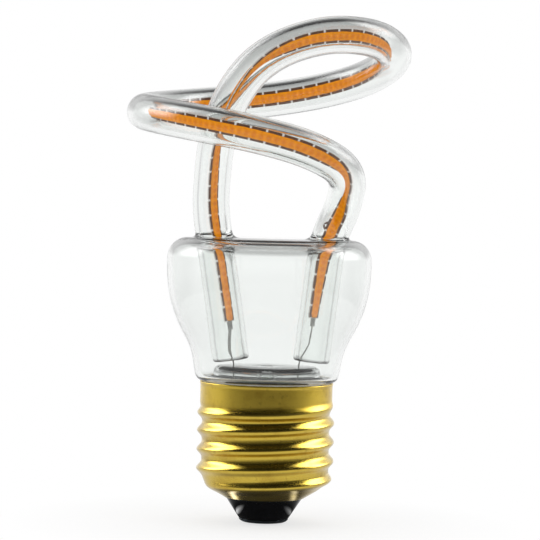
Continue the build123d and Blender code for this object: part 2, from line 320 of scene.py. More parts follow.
class CapSettings(PropertyGroup):
    """Sizes and colours of the screw cap."""

    thread_pitch: FloatProperty(
        name="Thread pitch", description="Rise of the thread in one turn", default=0.00363, unit="LENGTH"
    )
    thread_depth: FloatProperty(
        name="Thread depth", description="Height of the crests over the roots",
        default=0.00095, unit="LENGTH",
    )
    thread_foot: FloatProperty(
        name="Thread foot", description="Height of the first full crest on the right",
        default=0.0084, unit="LENGTH",
    )
    thread_turns: FloatProperty(
        name="Thread turns", description="Turns at full depth", default=3.8
    )
    thread_dip: FloatProperty(
        name="Thread dip", description="How far the last crest drops under the collar",
        default=0.0008, unit="LENGTH",
    )
    thread_sharpness: FloatProperty(
        name="Thread sharpness", description="How narrow the crests are against the valleys", default=1.5
    )
    collar_height: FloatProperty(
        name="Collar height", description="Height of the plain collar", default=0.0046, unit="LENGTH"
    )
    collar_inset: FloatProperty(
        name="Collar inset", description="How far the collar lies inside the crests",
        default=0.0005, unit="LENGTH",
    )
    sheet: FloatProperty(
        name="Sheet", description="Thickness of the rolled brass", default=0.0003, unit="LENGTH"
    )
    brass: FloatVectorProperty(
        name="Brass", description="Colour of clean brass", default=(0.73, 0.52, 0.06), subtype="COLOR"
    )
    brass_stain: FloatVectorProperty(
        name="Brass stain", description="Colour of handled brass",
        default=(0.46, 0.27, 0.015), subtype="COLOR",
    )
    insulator: FloatVectorProperty(
        name="Insulator", description="Colour of the black insulator",
        default=(0.002, 0.002, 0.0026), subtype="COLOR",
    )
    # The contact's dark blue-grey is painted shade: tinned metal coloured as dark as it looks where it
    # reflects its own shadow
    contact: FloatVectorProperty(
        name="Contact", description="Colour of the tinned contact",
        default=(0.10, 0.115, 0.13), subtype="COLOR",
    )
    cement: FloatVectorProperty(
        name="Cement", description="Colour of the basing cement",
        default=(0.72, 0.69, 0.6), subtype="COLOR",
    )


class StageSettings(PropertyGroup):
    """Camera and light of the studio."""

    camera_distance: FloatProperty(
        name="Camera distance", description="From the camera to the axis of the cap",
        default=0.51, unit="LENGTH",
    )
    camera_height: FloatProperty(
        name="Camera height", description="Height of the camera above the contact",
        default=0.065, unit="LENGTH",
    )
    aim_height: FloatProperty(
        name="Aim height", description="Height of the point at the picture's centre",
        default=0.0482, unit="LENGTH",
    )
    camera_roll: FloatProperty(
        name="Camera roll", description="Lean of the camera about its line of sight",
        default=radians(1.35), subtype="ANGLE",
    )
    lens: FloatProperty(
        name="Lens", description="Focal length in millimetres on a 36 mm sensor", default=178.5
    )
    floor_radius: FloatProperty(
        name="Floor radius", description="Radius of the round floor", default=0.16, unit="LENGTH"
    )
    panel_strength: FloatProperty(
        name="Panel strength", description="Brightness of the side panels in gloss", default=7.0
    )
    ambient: FloatProperty(
        name="Ambient", description="Strength of the even light on matt surfaces", default=0.55
    )
    softbox_strength: FloatProperty(
        name="Softbox strength", description="Brightness of the softboxes' faces", default=3.0
    )


# Route of the tube


def on_leg(foot_x, joint_x, height):
    """The point of a leg's axis at a height."""
    share = (height - leg_foot_height) / (bell_top - leg_foot_height)
    return Vector((foot_x + share * (joint_x - foot_x), 0, height))


def left_leg(height):
    """The point of the left leg's axis at a height."""
    return on_leg(left_foot_x, left_joint_x, height)


def right_leg(height):
    """The point of the right leg's axis at a height."""
    return on_leg(right_foot_x, right_joint_x, height)


def loop_corner(angle, out, up):
    """A corner of the loop, from its angle and its shares of the radius and the rise."""
    return Vector((
        loop_axis_x + out * loop_radius * cos(radians(angle)),
        loop_axis_y + out * loop_radius * sin(radians(angle)),
        bell_top + up * loop_rise,
    ))


def before_bend(bend, foot, neighbour):
    """A point on a straight leg, as far from its bend as the next corner is."""
    return bend + (foot - bend).normalized() * (neighbour - bend).length


def smooth_line(points):
    """Points along the NURBS spline that has the given points as its control points."""
    curve = bpy.data.curves.new("route", "CURVE")
    curve.dimensions = "3D"
    curve.resolution_u = route_resolution
    spline = curve.splines.new("NURBS")
    spline.points.add(len(points) - 1)
    for knot, point in zip(spline.points, points):
        knot.co = (*point, 1)
    spline.use_endpoint_u = True
    spline.order_u = 3
    route = bpy.data.objects.new("route", curve)
    mesh = bpy.data.meshes.new_from_object(route)
    line = [vertex.co.copy() for vertex in mesh.vertices]
    bpy.data.meshes.remove(mesh)
    bpy.data.objects.remove(route)
    bpy.data.curves.remove(curve)
    return line


def even_stations(line, spacing):
    """Points along a line at an even spacing, from its first point to its last."""
    reached = [0.0]
    for start, end in zip(line, line[1:]):
        reached.append(reached[-1] + (end - start).length)
    count = max(2, ceil(reached[-1] / spacing))
    stations = []
    run = 0
    for number in range(count + 1):
        distance = reached[-1] * number / count
        while run < len(line) - 2 and reached[run + 1] < distance:
            run += 1
        share = (distance - reached[run]) / (reached[run + 1] - reached[run])
        stations.append(line[run].lerp(line[run + 1], share))
    return stations


def tube_stations():
    """Points along the tube's centreline, from the left foot to the right foot."""
    corners = [loop_corner(*corner) for corner in rising_corners + round_corners + falling_corners]
    left_foot = left_leg(leg_foot_height)
    right_foot = right_leg(leg_foot_height)
    left_bend = left_leg(bell_top + left_bend_rise)
    right_bend = right_leg(bell_top + right_bend_rise)
    points = [left_foot, before_bend(left_bend, left_foot, corners[0]), left_bend]
    points += corners
    points += [right_bend, before_bend(right_bend, right_foot, corners[-1]), right_foot]
    return even_stations(smooth_line(points), station_spacing)


def carried_frames(stations, first_side):
    """A tangent, a side and a normal at each station, turning no more than the line does."""
    frames = []
    side = first_side
    last = len(stations) - 1
    for number in range(len(stations)):
        ahead = stations[min(number + 1, last)]
        behind = stations[max(number - 1, 0)]
        tangent = (ahead - behind).normalized()
        side = (side - tangent * side.dot(tangent)).normalized()
        frames.append((tangent, side, tangent.cross(side)))
    return frames


def between_heights(stations, left_height, right_height):
    """The stations from a height in the left leg to a height in the right leg."""
    first = next(number for number, point in enumerate(stations) if point.z >= left_height)
    last = next(number for number in reversed(range(len(stations))) if stations[number].z >= right_height)
    inner = stations[first:last + 1]
    return [left_leg(left_height), *inner, right_leg(right_height)]


# Drawing of meshes


class Draft:
    """Vertices and faces of a piece while it is drawn."""

    def __init__(self):
        self.mesh = bmesh.new()

    def ring(self, points):
        """New vertices at the points of a closed ring."""
        return [self.mesh.verts.new(point) for point in points]

    def band(self, first, second):
        """A row of faces between two closed rings with as many points."""
        for number in range(len(first)):
            following = (number + 1) % len(first)
            self.mesh.faces.new((first[number], first[following], second[following], second[number]))

    def skin(self, rings):
        """Rows of faces from ring to ring."""
        for first, second in zip(rings, rings[1:]):
            self.band(first, second)

    def fill(self, *rings):
        """A flat sheet inside the first ring and outside the others."""
        edges = []
        for ring in rings:
            for number, vertex in enumerate(ring):
                pair = (vertex, ring[(number + 1) % len(ring)])
                edges.append(self.mesh.edges.get(pair) or self.mesh.edges.new(pair))
        bmesh.ops.triangle_fill(self.mesh, use_beauty=True, edges=edges, normal=(0, 0, 1))

    def rod(self, rings):
        """Rows of faces from ring to ring, closed at both ends."""
        self.skin(rings)
        self.mesh.faces.new(rings[0])
        self.mesh.faces.new(rings[-1])

    def lathe(self, profile, segments):
        """A turned surface from a line of radius and height pairs."""
        verts = [self.mesh.verts.new((radius, 0, height)) for radius, height in profile]
        edges = [self.mesh.edges.new(pair) for pair in zip(verts, verts[1:])]
        bmesh.ops.spin(
            self.mesh, geom=verts + edges, cent=(0, 0, 0), axis=(0, 0, 1), angle=tau, steps=segments
        )
        bmesh.ops.remove_doubles(self.mesh, verts=self.mesh.verts, dist=weld_distance)

    def piece(self, name, material, slot, *replaced):
        """The finished object, which rides on the part's one body."""
        bmesh.ops.recalc_face_normals(self.mesh, faces=self.mesh.faces)
        for face in self.mesh.faces:
            face.smooth = True
        data = bpy.data.meshes.new(name)
        self.mesh.to_mesh(data)
        self.mesh.free()
        data.materials.append(material)
        piece = bpy.data.objects.new(name, data)
        bpy.context.scene.collection.objects.link(piece)
        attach(piece, "root")
        if replaced:
            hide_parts(*replaced)
        return piece


def arc(centre_radius, centre_height, size, start, end):
    """Points of a round stretch of a profile, from one angle to another."""
    steps = max(2, ceil(abs(end - start) / arc_step))
    points = []
    for step in range(steps + 1):
        angle = start + (end - start) * step / steps
        points.append((centre_radius + size * cos(angle), centre_height + size * sin(angle)))
    return points


def rounded(profile, bends, steps=bend_steps):
    """A profile with its inner corners rounded, each by its own bend."""
    points = [profile[0]]
    for before, corner, after, bend in zip(profile, profile[1:], profile[2:], bends):
        here = Vector(corner)
        start = here + (Vector(before) - here).normalized() * bend
        end = here + (Vector(after) - here).normalized() * bend
        for step in range(steps + 1 if bend else 1):
            share = step / steps
            point = start.lerp(here, share).lerp(here.lerp(end, share), share)
            points.append(tuple(point))
    return points + [profile[-1]]


def angles(segments):
    """Angles that divide a full turn evenly."""
    return [tau * number / segments for number in range(segments)]


def level_circle(radius, height, segments):
    """Points of a level circle round the axis of the cap."""
    return [Vector((radius * cos(angle), radius * sin(angle), height)) for angle in angles(segments)]


def round_section(station, frame_here, radius, segments):
    """Points of a circle across a line."""
    side, normal = frame_here[1:]
    return [station + radius * (cos(angle) * side + sin(angle) * normal) for angle in angles(segments)]


def across(station, frame_here, section):
    """Points of a flat section across a line, given as pairs along its side and its normal."""
    side, normal = frame_here[1:]
    return [station + side * wide + normal * high for wide, high in section]


def easing(share):
    """A smooth rise from 0 to 1."""
    share = min(max(share, 0), 1)
    return share * share * (3 - 2 * share)


# Materials


def set_inputs(node, values):
    """Sets a node's inputs by name, where _ stands for a space."""
    for name, value in values.items():
        node.inputs[name.replace("_", " ")].default_value = value


def add_node(tree, kind, **values):
    """A new shader node with its inputs set by name."""
    node = tree.nodes.new(kind)
    set_inputs(node, values)
    return node


def math_node(tree, operation, *values):
    """The result of a calculation on sockets or numbers."""
    node = tree.nodes.new("ShaderNodeMath")
    node.operation = operation
    for socket, value in zip(node.inputs, values):
        if isinstance(value, bpy.types.NodeSocket):
            tree.links.new(value, socket)
        else:
            socket.default_value = value
    return node.outputs["Value"]


def vector_node(tree, operation, vector, second=None):
    """The result of a calculation on a vector, with a second one where it takes two."""
    node = tree.nodes.new("ShaderNodeVectorMath")
    node.operation = operation
    tree.links.new(vector, node.inputs[0])
    if second is not None:
        node.inputs[1].default_value = second
    return node.outputs["Value" if operation == "LENGTH" else "Vector"]


def range_node(tree, value, span, limits, interpolation="LINEAR"):
    """A number that goes from one limit to the other while a value crosses a span."""
    node = add_node(
        tree, "ShaderNodeMapRange", From_Min=span[0], From_Max=span[1], To_Min=limits[0], To_Max=limits[1]
    )
    node.interpolation_type = interpolation
    tree.links.new(value, node.inputs["Value"])
    return node.outputs["Result"]


def ramp_node(tree, value, stops):
    """A brightness read from pairs of position and brightness."""
    ramp = tree.nodes.new("ShaderNodeValToRGB")
    elements = ramp.color_ramp.elements
    while len(elements) < len(stops):
        elements.new(1.0)
    for element, (position, grey) in zip(elements, stops):
        element.position = position
        element.color = (grey, grey, grey, 1)
    tree.links.new(value, ramp.inputs["Fac"])
    return ramp.outputs["Color"]


def new_group(name, inputs, outputs):
    """An empty node group with named sockets, and its two end nodes."""
    group = bpy.data.node_groups.new(name, "ShaderNodeTree")
    for label, kind, default in inputs:
        socket = group.interface.new_socket(label, in_out="INPUT", socket_type=kind)
        socket.default_value = default
    for label, kind in outputs:
        group.interface.new_socket(label, in_out="OUTPUT", socket_type=kind)
    return group, group.nodes.new("NodeGroupInput"), group.nodes.new("NodeGroupOutput")


def grain_group():
    """Fine cloudy grain: a value between two limits and a height for a bump."""
    group, given, result = new_group(
        "fine_grain",
        [
            ("Scale", "NodeSocketFloat", 800.0),
            ("Low", "NodeSocketFloat", 0.3),
            ("High", "NodeSocketFloat", 0.5),
            ("Stretch", "NodeSocketVector", (1.0, 1.0, 1.0)),
        ],
        [("Value", "NodeSocketFloat"), ("Height", "NodeSocketFloat")],
    )
    place = group.nodes.new("ShaderNodeTexCoord")
    stretch = add_node(group, "ShaderNodeMapping")
    cloud = add_node(group, "ShaderNodeTexNoise", Detail=4.0, Roughness=0.6)
    limits = add_node(group, "ShaderNodeMapRange", From_Min=0.3, From_Max=0.7)
    link = group.links.new
    link(place.outputs["Object"], stretch.inputs["Vector"])
    link(given.outputs["Stretch"], stretch.inputs["Scale"])
    link(stretch.outputs["Vector"], cloud.inputs["Vector"])
    link(given.outputs["Scale"], cloud.inputs["Scale"])
    link(cloud.outputs["Fac"], limits.inputs["Value"])
    link(given.outputs["Low"], limits.inputs["To Min"])
    link(given.outputs["High"], limits.inputs["To Max"])
    link(limits.outputs["Result"], result.inputs["Value"])
    link(cloud.outputs["Fac"], result.inputs["Height"])
    return group


def stain_group():
    """Patches of a second colour over a first, with soft edges."""
    group, given, result = new_group(
        "patchy_stain",
        [
            ("Clean", "NodeSocketColor", (1.0, 1.0, 1.0, 1.0)),
            ("Stain", "NodeSocketColor", (0.5, 0.5, 0.5, 1.0)),
            ("Scale", "NodeSocketFloat", 200.0),
            ("Start", "NodeSocketFloat", 0.5),
            ("Amount", "NodeSocketFloat", 1.0),
        ],
        [("Color", "NodeSocketColor"), ("Mask", "NodeSocketFloat")],
    )
    place = group.nodes.new("ShaderNodeTexCoord")
    cloud = add_node(group, "ShaderNodeTexNoise", Detail=5.0, Roughness=0.65)
    limits = add_node(group, "ShaderNodeMapRange", From_Max=0.75)
    blend = group.nodes.new("ShaderNodeMix")
    blend.data_type = "RGBA"
    link = group.links.new
    link(place.outputs["Object"], cloud.inputs["Vector"])
    link(given.outputs["Scale"], cloud.inputs["Scale"])
    link(cloud.outputs["Fac"], limits.inputs["Value"])
    link(given.outputs["Start"], limits.inputs["From Min"])
    link(given.outputs["Amount"], limits.inputs["To Max"])
    link(limits.outputs["Result"], blend.inputs["Factor"])
    link(given.outputs["Clean"], blend.inputs["A"])
    link(given.outputs["Stain"], blend.inputs["B"])
    link(blend.outputs["Result"], result.inputs["Color"])
    link(limits.outputs["Result"], result.inputs["Mask"])
    return group


def place_group(tree, name, **values):
    """A shared node group placed in a material with its own values."""
    makers = {"fine_grain": grain_group, "patchy_stain": stain_group}
    node = tree.nodes.new("ShaderNodeGroup")
    node.node_tree = bpy.data.node_groups.get(name) or makers[name]()
    set_inputs(node, values)
    return node


def solid(colour):
    """A colour with full alpha."""
    return (*colour, 1.0)


def shade(colour, factor):
    """A colour made darker or lighter."""
    return [tone * factor for tone in colour]


def new_material(name, **values):
    """A material with one Principled shader, its nodes and that shader."""
    material = bpy.data.materials.new(name)
    material.use_nodes = True
    shader = material.node_tree.nodes["Principled BSDF"]
    set_inputs(shader, values)
    return material, material.node_tree, shader


def add_bump(tree, shader, height, strength, distance=grain_depth):
    """A bump from a height, on the shader's normal."""
    bump = add_node(tree, "ShaderNodeBump", Strength=strength, Distance=distance)
    tree.links.new(height, bump.inputs["Height"])
    tree.links.new(bump.outputs["Normal"], shader.inputs["Normal"])


def stained_material(name, clean, stain, stain_scale, grain_scale, rough, bump, stain_start=0.5, **values):
    """A surface with stains in its colour and grain in its roughness and its bump."""
    material, tree, shader = new_material(name, **values)
    stains = place_group(
        tree, "patchy_stain", Clean=solid(clean), Stain=solid(stain), Scale=stain_scale, Start=stain_start
    )
    grain = place_group(tree, "fine_grain", Scale=grain_scale, Low=rough[0], High=rough[1])
    tree.links.new(stains.outputs["Color"], shader.inputs["Base Color"])
    tree.links.new(grain.outputs["Value"], shader.inputs["Roughness"])
    add_bump(tree, shader, grain.outputs["Height"], bump)
    return material


def glass_material(settings):
    """Clear blown glass: slow waves in its surface and a trace of haze."""
    existing = bpy.data.materials.get("clear_blown_glass")
    if existing:
        return existing
    material, tree, shader = new_material(
        "clear_blown_glass", Base_Color=solid(settings.tint), IOR=1.5, Transmission_Weight=1.0
    )
    haze = place_group(tree, "fine_grain", Scale=90.0, Low=0.0, High=0.02)
    waves = place_group(tree, "fine_grain", Scale=85.0)
    tree.links.new(haze.outputs["Value"], shader.inputs["Roughness"])
    add_bump(tree, shader, waves.outputs["Height"], strength=0.035, distance=0.001)
    return material


# Pieces of glass


def tube_point(stations, frames, radius, angle, place):
    """A point of the tube's skin at an angle round it and a place counted in stations."""
    number = min(int(place), len(stations) - 2)
    ends = []
    for end in (number, number + 1):
        side, normal = frames[end][1:]
        ends.append(stations[end] + radius * (cos(angle) * side + sin(angle) * normal))
    return ends[0].lerp(ends[1], place - number)


def level_place(stations, frames, radius, angle, level, way):
    """Where a line along the tube's skin passes a level, counted in stations from either end."""
    number = 0 if way > 0 else len(stations) - 1
    while tube_point(stations, frames, radius, angle, number + way).z < level:
        number += way
    low = tube_point(stations, frames, radius, angle, number).z
    high = tube_point(stations, frames, radius, angle, number + way).z
    return number + way * (level - low) / (high - low)


def joint_rings(draft, stations, frames, settings, level, way, rising):
    """Rings of a fused joint, from the flat sheet at a level to the round tube, and the station reached."""
    radius = settings.tube_diameter / 2
    turns = angles(settings.tube_segments)
    places = [level_place(stations, frames, radius, angle, level, way) for angle in turns]
    corners = [tube_point(stations, frames, radius, *pair) for pair in zip(turns, places)]
    centre = sum(corners, Vector()) / len(corners)
    onward = way if rising else -way
    flats = []
    ends = []
    for corner, place in zip(corners, places):
        outward = (corner - centre).normalized()
        inner_side = (1 - outward.x * centre.x / abs(centre.x)) / 2
        width = settings.flare + settings.flare_swell * inner_side
        flats.append(corner + outward * width)
        ends.append(place + onward * width / station_spacing)
    reached = ceil(max(ends)) + 1 if onward > 0 else int(min(ends)) - 1
    uprights = [tube_point(stations, frames, radius, *pair) for pair in zip(turns, ends)]
    rings = []
    for step in range(flare_steps + 1):
        share = step / flare_steps
        points = []
        for flat, corner, upright in zip(flats, corners, uprights):
            points.append(flat.lerp(corner, share).lerp(corner.lerp(upright, share), share))
        rings.append(draft.ring(points))
    for step in range(1, joint_steps):
        points = []
        for angle, end in zip(turns, ends):
            place = end + (reached - end) * step / joint_steps
            points.append(tube_point(stations, frames, radius, angle, place))
        rings.append(draft.ring(points))
    draft.skin(rings)
    return rings, reached


def bell_outside():
    """The bell's outer profile, from the neck's foot up to its flat top."""
    rise = belly_height - neck_height
    shrink = bell_radius - neck_radius
    flank = (rise ** 2 + shrink ** 2) / (2 * shrink)
    flank_start = neck_bend / flank - asin(rise / flank)
    flank_arc = arc(bell_radius - flank, belly_height, flank, flank_start, 0)
    neck_corners = [
        (spigot_radius, cap_height), (neck_foot_radius, cap_height), (neck_radius, neck_height), flank_arc[0],
    ]
    neck = rounded(neck_corners, [neck_foot_round, neck_bend], fine_bend_steps)
    shoulder = arc(flat_radius, shoulder_foot, bell_shoulder, 0, pi / 2)
    return neck[:-2] + flank_arc + shoulder


def inset(profile, depth):
    """A profile moved inwards by a depth, square to its own line."""
    moved = []
    last = len(profile) - 1
    for number, point in enumerate(profile):
        ahead = Vector(profile[min(number + 1, last)])
        behind = Vector(profile[max(number - 1, 0)])
        along = (ahead - behind).normalized()
        moved.append((point[0] - along.y * depth, point[1] + along.x * depth))
    return moved


def draw_envelope(settings):
    """The bell and the looped tube as one closed piece of glass."""
    draft = Draft()
    radius = settings.tube_diameter / 2
    bore = radius - settings.tube_wall
    segments = settings.tube_segments
    wall = settings.bell_wall
    lining_bend = wall * 0.8
    foot_round = settings.tube_wall / 2
    stations = tube_stations()
    frames = carried_frames(stations, Vector((1, 0, 0)))

    outside = bell_outside()
    inside = inset(outside, wall)
    spigot_bore = spigot_radius - wall
    spigot_lining = [(spigot_bore, spigot_foot), (spigot_bore, cap_height + wall), inside[0]]
    shell_line = [(spigot_radius, spigot_foot), *outside]
    lining_line = rounded(spigot_lining, [lining_bend]) + inside[1:]
    shell = [draft.ring(level_circle(*point, bell_segments)) for point in shell_line]
    lining = [draft.ring(level_circle(*point, bell_segments)) for point in lining_line]
    draft.skin(shell)
    draft.skin(lining)
    draft.band(shell[0], lining[0])

    ceiling = bell_top - wall
    left_top, tube_start = joint_rings(draft, stations, frames, settings, bell_top, 1, True)
    right_top, tube_end = joint_rings(draft, stations, frames, settings, bell_top, -1, True)
    left_ceiling, left_stub = joint_rings(draft, stations, frames, settings, ceiling, 1, False)
    right_ceiling, right_stub = joint_rings(draft, stations, frames, settings, ceiling, -1, False)
    draft.fill(shell[-1], left_top[0], right_top[0])
    draft.fill(lining[-1], left_ceiling[0], right_ceiling[0])

    skins = [round_section(*place, radius, segments) for place in zip(stations, frames)]
    tube = [draft.ring(points) for points in skins[tube_start:tube_end + 1]]
    draft.skin([left_top[-1], *tube, right_top[-1]])
    inner_places = zip(stations[1:-1], frames[1:-1])
    bores = [draft.ring(round_section(*place, bore, segments)) for place in inner_places]
    draft.skin(bores)
    last = len(stations) - 1
    for foot, numbers, joint, end in (
        (0, range(left_stub, 0, -1), left_ceiling[-1], bores[0]),
        (last, range(right_stub, last), right_ceiling[-1], bores[-1]),
    ):
        rows = [draft.ring(skins[number]) for number in numbers]
        inward = (stations[numbers[-1]] - stations[foot]).normalized()
        for step in range(lip_steps):
            angle = pi * step / lip_steps
            lip_radius = radius - foot_round + foot_round * cos(angle)
            lip = stations[foot] + inward * foot_round * (1 - sin(angle))
            rows.append(draft.ring(round_section(lip, frames[foot], lip_radius, segments)))
        draft.skin([joint, *rows, end])
    piece = draft.piece("glass_envelope_smooth", glass_material(settings), "clear_glass", "glass_envelope")
    pass_light(piece)


def pass_light(piece):
    """Lets the studio's light through clear glass without shadow or scatter."""
    piece.visible_shadow = False
    piece.visible_diffuse = False


def draw_stem(settings):
    """The glass cup in the neck, with its sealed exhaust tube."""
    wall = 0.0009
    edge = 0.0007
    slight = edge / 3
    exhaust_radius = 0.002
    exhaust_bore = 0.0011
    exhaust_length = 0.006
    cup_gap = 0.0004
    exhaust_foot = stem_top - exhaust_length
    cup_radius = spigot_radius - settings.bell_wall - cup_gap
    corners = [
        (0, exhaust_foot + exhaust_radius),
        (exhaust_bore, exhaust_foot + 2 * exhaust_radius),
        (exhaust_bore, stem_top),
        (cup_radius, stem_top),
        (cup_radius, spigot_foot),
        (spigot_radius, spigot_foot),
        (spigot_radius, stem_foot),
        (cup_radius - wall, stem_foot),
        (cup_radius - wall, stem_top - wall),
        (exhaust_radius, stem_top - wall),
        (exhaust_radius, exhaust_foot + exhaust_radius),
        (0, exhaust_foot),
    ]
    bends = [slight, slight, edge * 2, slight, slight, slight, slight, edge, edge / 2, edge]
    draft = Draft()
    draft.lathe(rounded(corners, bends), bell_segments)
    piece = draft.piece("glass_stem_smooth", glass_material(settings), "clear_glass", "glass_stem")
    pass_light(piece)


# Pieces of the filament


def twist_at(share):
    """The strip's added turn at a share of its length."""
    for (start, before), (end, after) in zip(strip_twists, strip_twists[1:]):
        if share <= end:
            return radians(before + (after - before) * (share - start) / (end - start))
    return radians(strip_twists[-1][1])


def pull_at(share):
    """How much of the inward pull acts at a share of the strip's length."""
    return easing((share - pull_start) / pull_fade) * easing((pull_end - share) / pull_fade)


def strip_line(settings):
    """Stations and frames of the strip from end to end, with its twist, its pull and its leaning ends."""
    left_height = leg_foot_height + settings.left_rise
    right_height = leg_foot_height + settings.right_rise
    line = even_stations(between_heights(tube_stations(), left_height, right_height), strip_spacing)
    start = (line[1] - line[0]).normalized()
    level = Vector((1, 0, 0))
    level = (level - start * level.dot(start)).normalized()
    first_side = Matrix.Rotation(settings.strip_roll, 3, start) @ level
    last = len(line) - 1
    stations = []
    frames = []
    for number, (tangent, side, normal) in enumerate(carried_frames(line, first_side)):
        nearby = range(number - twist_window, number + twist_window + 1)
        twist = sum(twist_at(min(max(place / last, 0), 1)) for place in nearby) / len(nearby)
        turned = side * cos(twist) + normal * sin(twist)
        facing = tangent.cross(turned)
        ahead = line[min(number + twist_window, last)]
        behind = line[max(number - twist_window, 0)]
        bend = ahead + behind - 2 * line[number]
        inward = bend.normalized() if 0 < number < last else Vector()
        pull = facing * facing.dot(inward) * settings.strip_pull
        pull += turned * turned.dot(inward) * settings.strip_sag
        share = number / last
        lean = easing((1 - share) / right_lean_share) - easing(share / left_lean_share)
        stations.append(line[number] + pull * pull_at(share) + Vector((settings.end_lean * lean, 0, 0)))
        frames.append((tangent, turned, facing))
    return stations, frames


def draw_ribbon(draft, stations, frames, sections):
    """A closed ribbon through one section for each station, and its rings."""
    rings = [draft.ring(across(*place)) for place in zip(stations, frames, sections)]
    draft.rod(rings)
    return rings


def lay_out(draft, rings, sections):
    """A map on a ribbon: metres along the strip and metres across it."""
    places = {}
    for number, (ring, section) in enumerate(zip(rings, sections)):
        for vertex, point in zip(ring, section):
            places[vertex] = (number * strip_spacing, point[0])
    layer = draft.mesh.loops.layers.uv.new("along_strip")
    for face in draft.mesh.faces:
        for loop in face.loops:
            loop[layer].uv = places[loop.vert]


def flat_section(width, thickness, offset=0.0, edge=0.3):
    """A flat section with its four corners cut, at an offset along its side."""
    cut = thickness * edge
    half = width / 2
    thick = thickness / 2
    return [
        (offset - half + cut, -thick), (offset + half - cut, -thick), (offset + half, -thick + cut),
        (offset + half, thick - cut), (offset + half - cut, thick), (offset - half + cut, thick),
        (offset - half, thick - cut), (offset - half, -thick + cut),
    ]


def dome_section(width, height, foot):
    """A low dome that stands on one face of the strip."""
    fullness = 0.7
    points = []
    for step in range(dome_steps + 1):
        angle = pi * step / dome_steps
        points.append((width / 2 * cos(angle), foot + height * sin(angle) ** fullness))
    return points if height > 0 else points[::-1]


def draw_strip(settings, stations, frames):
    """The bare strip with its copper lands along both edges."""
    backing = stained_material(
        "strip_backing", settings.backing, shade(settings.backing, 0.8),
        stain_scale=600.0, grain_scale=3000.0, rough=(0.45, 0.6), bump=0.1,
    )
    # The copper colour of the lands carries painted shade, darker than clean copper
    copper = stained_material(
        "copper_with_painted_shade", settings.copper, shade(settings.copper, 2.2),
        stain_scale=900.0, stain_start=0.55, grain_scale=4000.0, rough=(0.4, 0.6), bump=0.15, Metallic=0.2,
    )
    draft = Draft()
    section = flat_section(settings.strip_width - settings.land_rise * 2, settings.strip_thickness)
    draw_ribbon(draft, stations, frames, [section] * len(stations))
    draft.piece("filament_backing", backing, "strip_copper", "filament_strip")

    lands = Draft()
    pitch = round(settings.land_pitch / strip_spacing)
    length = pitch - max(1, round(settings.land_gap / strip_spacing))
    edge = (settings.strip_width - settings.land_width) / 2 - settings.land_rise
    level = settings.strip_thickness / 2
    for start in range(1, len(stations) - 3, pitch):
        run = slice(start, min(start + length + 1, len(stations) - 1))
        for offset in (-edge, edge):
            flat = flat_section(settings.land_width, settings.land_rise, offset)
            for height in (-level, level):
                land = [(wide, height + high) for wide, high in flat]
                draw_ribbon(lands, stations[run], frames[run], [land] * len(stations[run]))
    draw_eyelet(lands, settings, stations, frames)
    lands.piece("filament_lands", copper, "strip_copper")


def draw_eyelet(draft, settings, stations, frames):
    """A pad with a hole on the edge of the strip, above the right leg's joint."""
    # Half a width, half a length and the power of the outline, which is 2 for an ellipse
    pad = (0.00055, 0.00095, 1.4)
    hole = (0.00029, 0.00042, 2.0)
    number = round(eyelet_share * (len(stations) - 1))
    tangent, side, facing = frames[number]
    outward = side if side.x < 0 else -side
    centre = stations[number] + outward * (settings.strip_width / 2)
    thick = settings.strip_thickness / 2 + settings.land_rise * 2
    rings = []
    for (wide, long, power), height in ((pad, -thick), (pad, thick), (hole, thick), (hole, -thick)):
        points = []
        for angle in angles(eyelet_segments):
            reach = (abs(cos(angle)) ** power + abs(sin(angle)) ** power) ** (-1 / power)
            flat = outward * wide * reach * cos(angle) + tangent * long * reach * sin(angle)
            points.append(centre + flat + facing * height)
        rings.append(draft.ring(points))
    draft.skin([*rings, rings[0]])


def coat_sections(settings, stations, facing):
    """Dome sections of the phosphor, which wander in width and round off at both ends."""
    end_share = 0.7
    end_length = settings.coat_width / 3
    wander_scale = 700
    sections = []
    last = len(stations) - 1
    foot = facing * settings.strip_thickness / 2
    for number, point in enumerate(stations):
        from_end = min(number, last - number) * strip_spacing
        taper = end_share + (1 - end_share) * easing(from_end / end_length)
        drift = noise.noise(point * wander_scale + Vector((0, 0, facing)))
        width = settings.coat_width * (1 + settings.coat_unevenness * drift) * taper
        sections.append(dome_section(width, facing * settings.coat_height * taper, foot))
    return sections


def phosphor_material(settings):
    """Orange phosphor set in silicone: darker over the chips, with specks, soft grain and a dull sheen."""
    chip_span = (0.1, 0.5)
    chip_strength = 0.75
    deep = solid(settings.phosphor_deep)
    material, tree, shader = new_material("orange_phosphor", Specular_IOR_Level=0.05)
    link = tree.links.new
    place = tree.nodes.new("ShaderNodeTexCoord")
    cells = (1 / settings.chip_pitch, 1 / settings.coat_width, 0.0)
    cell = vector_node(tree, "MULTIPLY", place.outputs["UV"], cells)
    cell = vector_node(tree, "ADD", cell, (0.0, 0.5, 0.0))
    cell = vector_node(tree, "FRACTION", cell)
    cell = vector_node(tree, "SUBTRACT", cell, (0.5, 0.5, 0.0))
    away = vector_node(tree, "LENGTH", cell)
    chips = range_node(tree, away, chip_span, (chip_strength, 0.0), "SMOOTHSTEP")
    cloud = place_group(
        tree, "patchy_stain", Clean=solid(settings.phosphor), Stain=solid(shade(settings.phosphor, 0.82)),
        Scale=900.0, Start=0.42,
    )
    specks = place_group(tree, "patchy_stain", Stain=deep, Scale=2000.0, Start=0.5, Amount=0.85)
    grain = place_group(tree, "fine_grain", Scale=2600.0, Low=0.55, High=0.8)
    blend = tree.nodes.new("ShaderNodeMix")
    blend.data_type = "RGBA"
    blend.inputs["B"].default_value = deep
    link(cloud.outputs["Color"], specks.inputs["Clean"])
    link(specks.outputs["Color"], blend.inputs["A"])
    link(chips, blend.inputs["Factor"])
    link(blend.outputs["Result"], shader.inputs["Base Color"])
    link(grain.outputs["Value"], shader.inputs["Roughness"])
    add_bump(tree, shader, grain.outputs["Height"], strength=0.35)
    return material


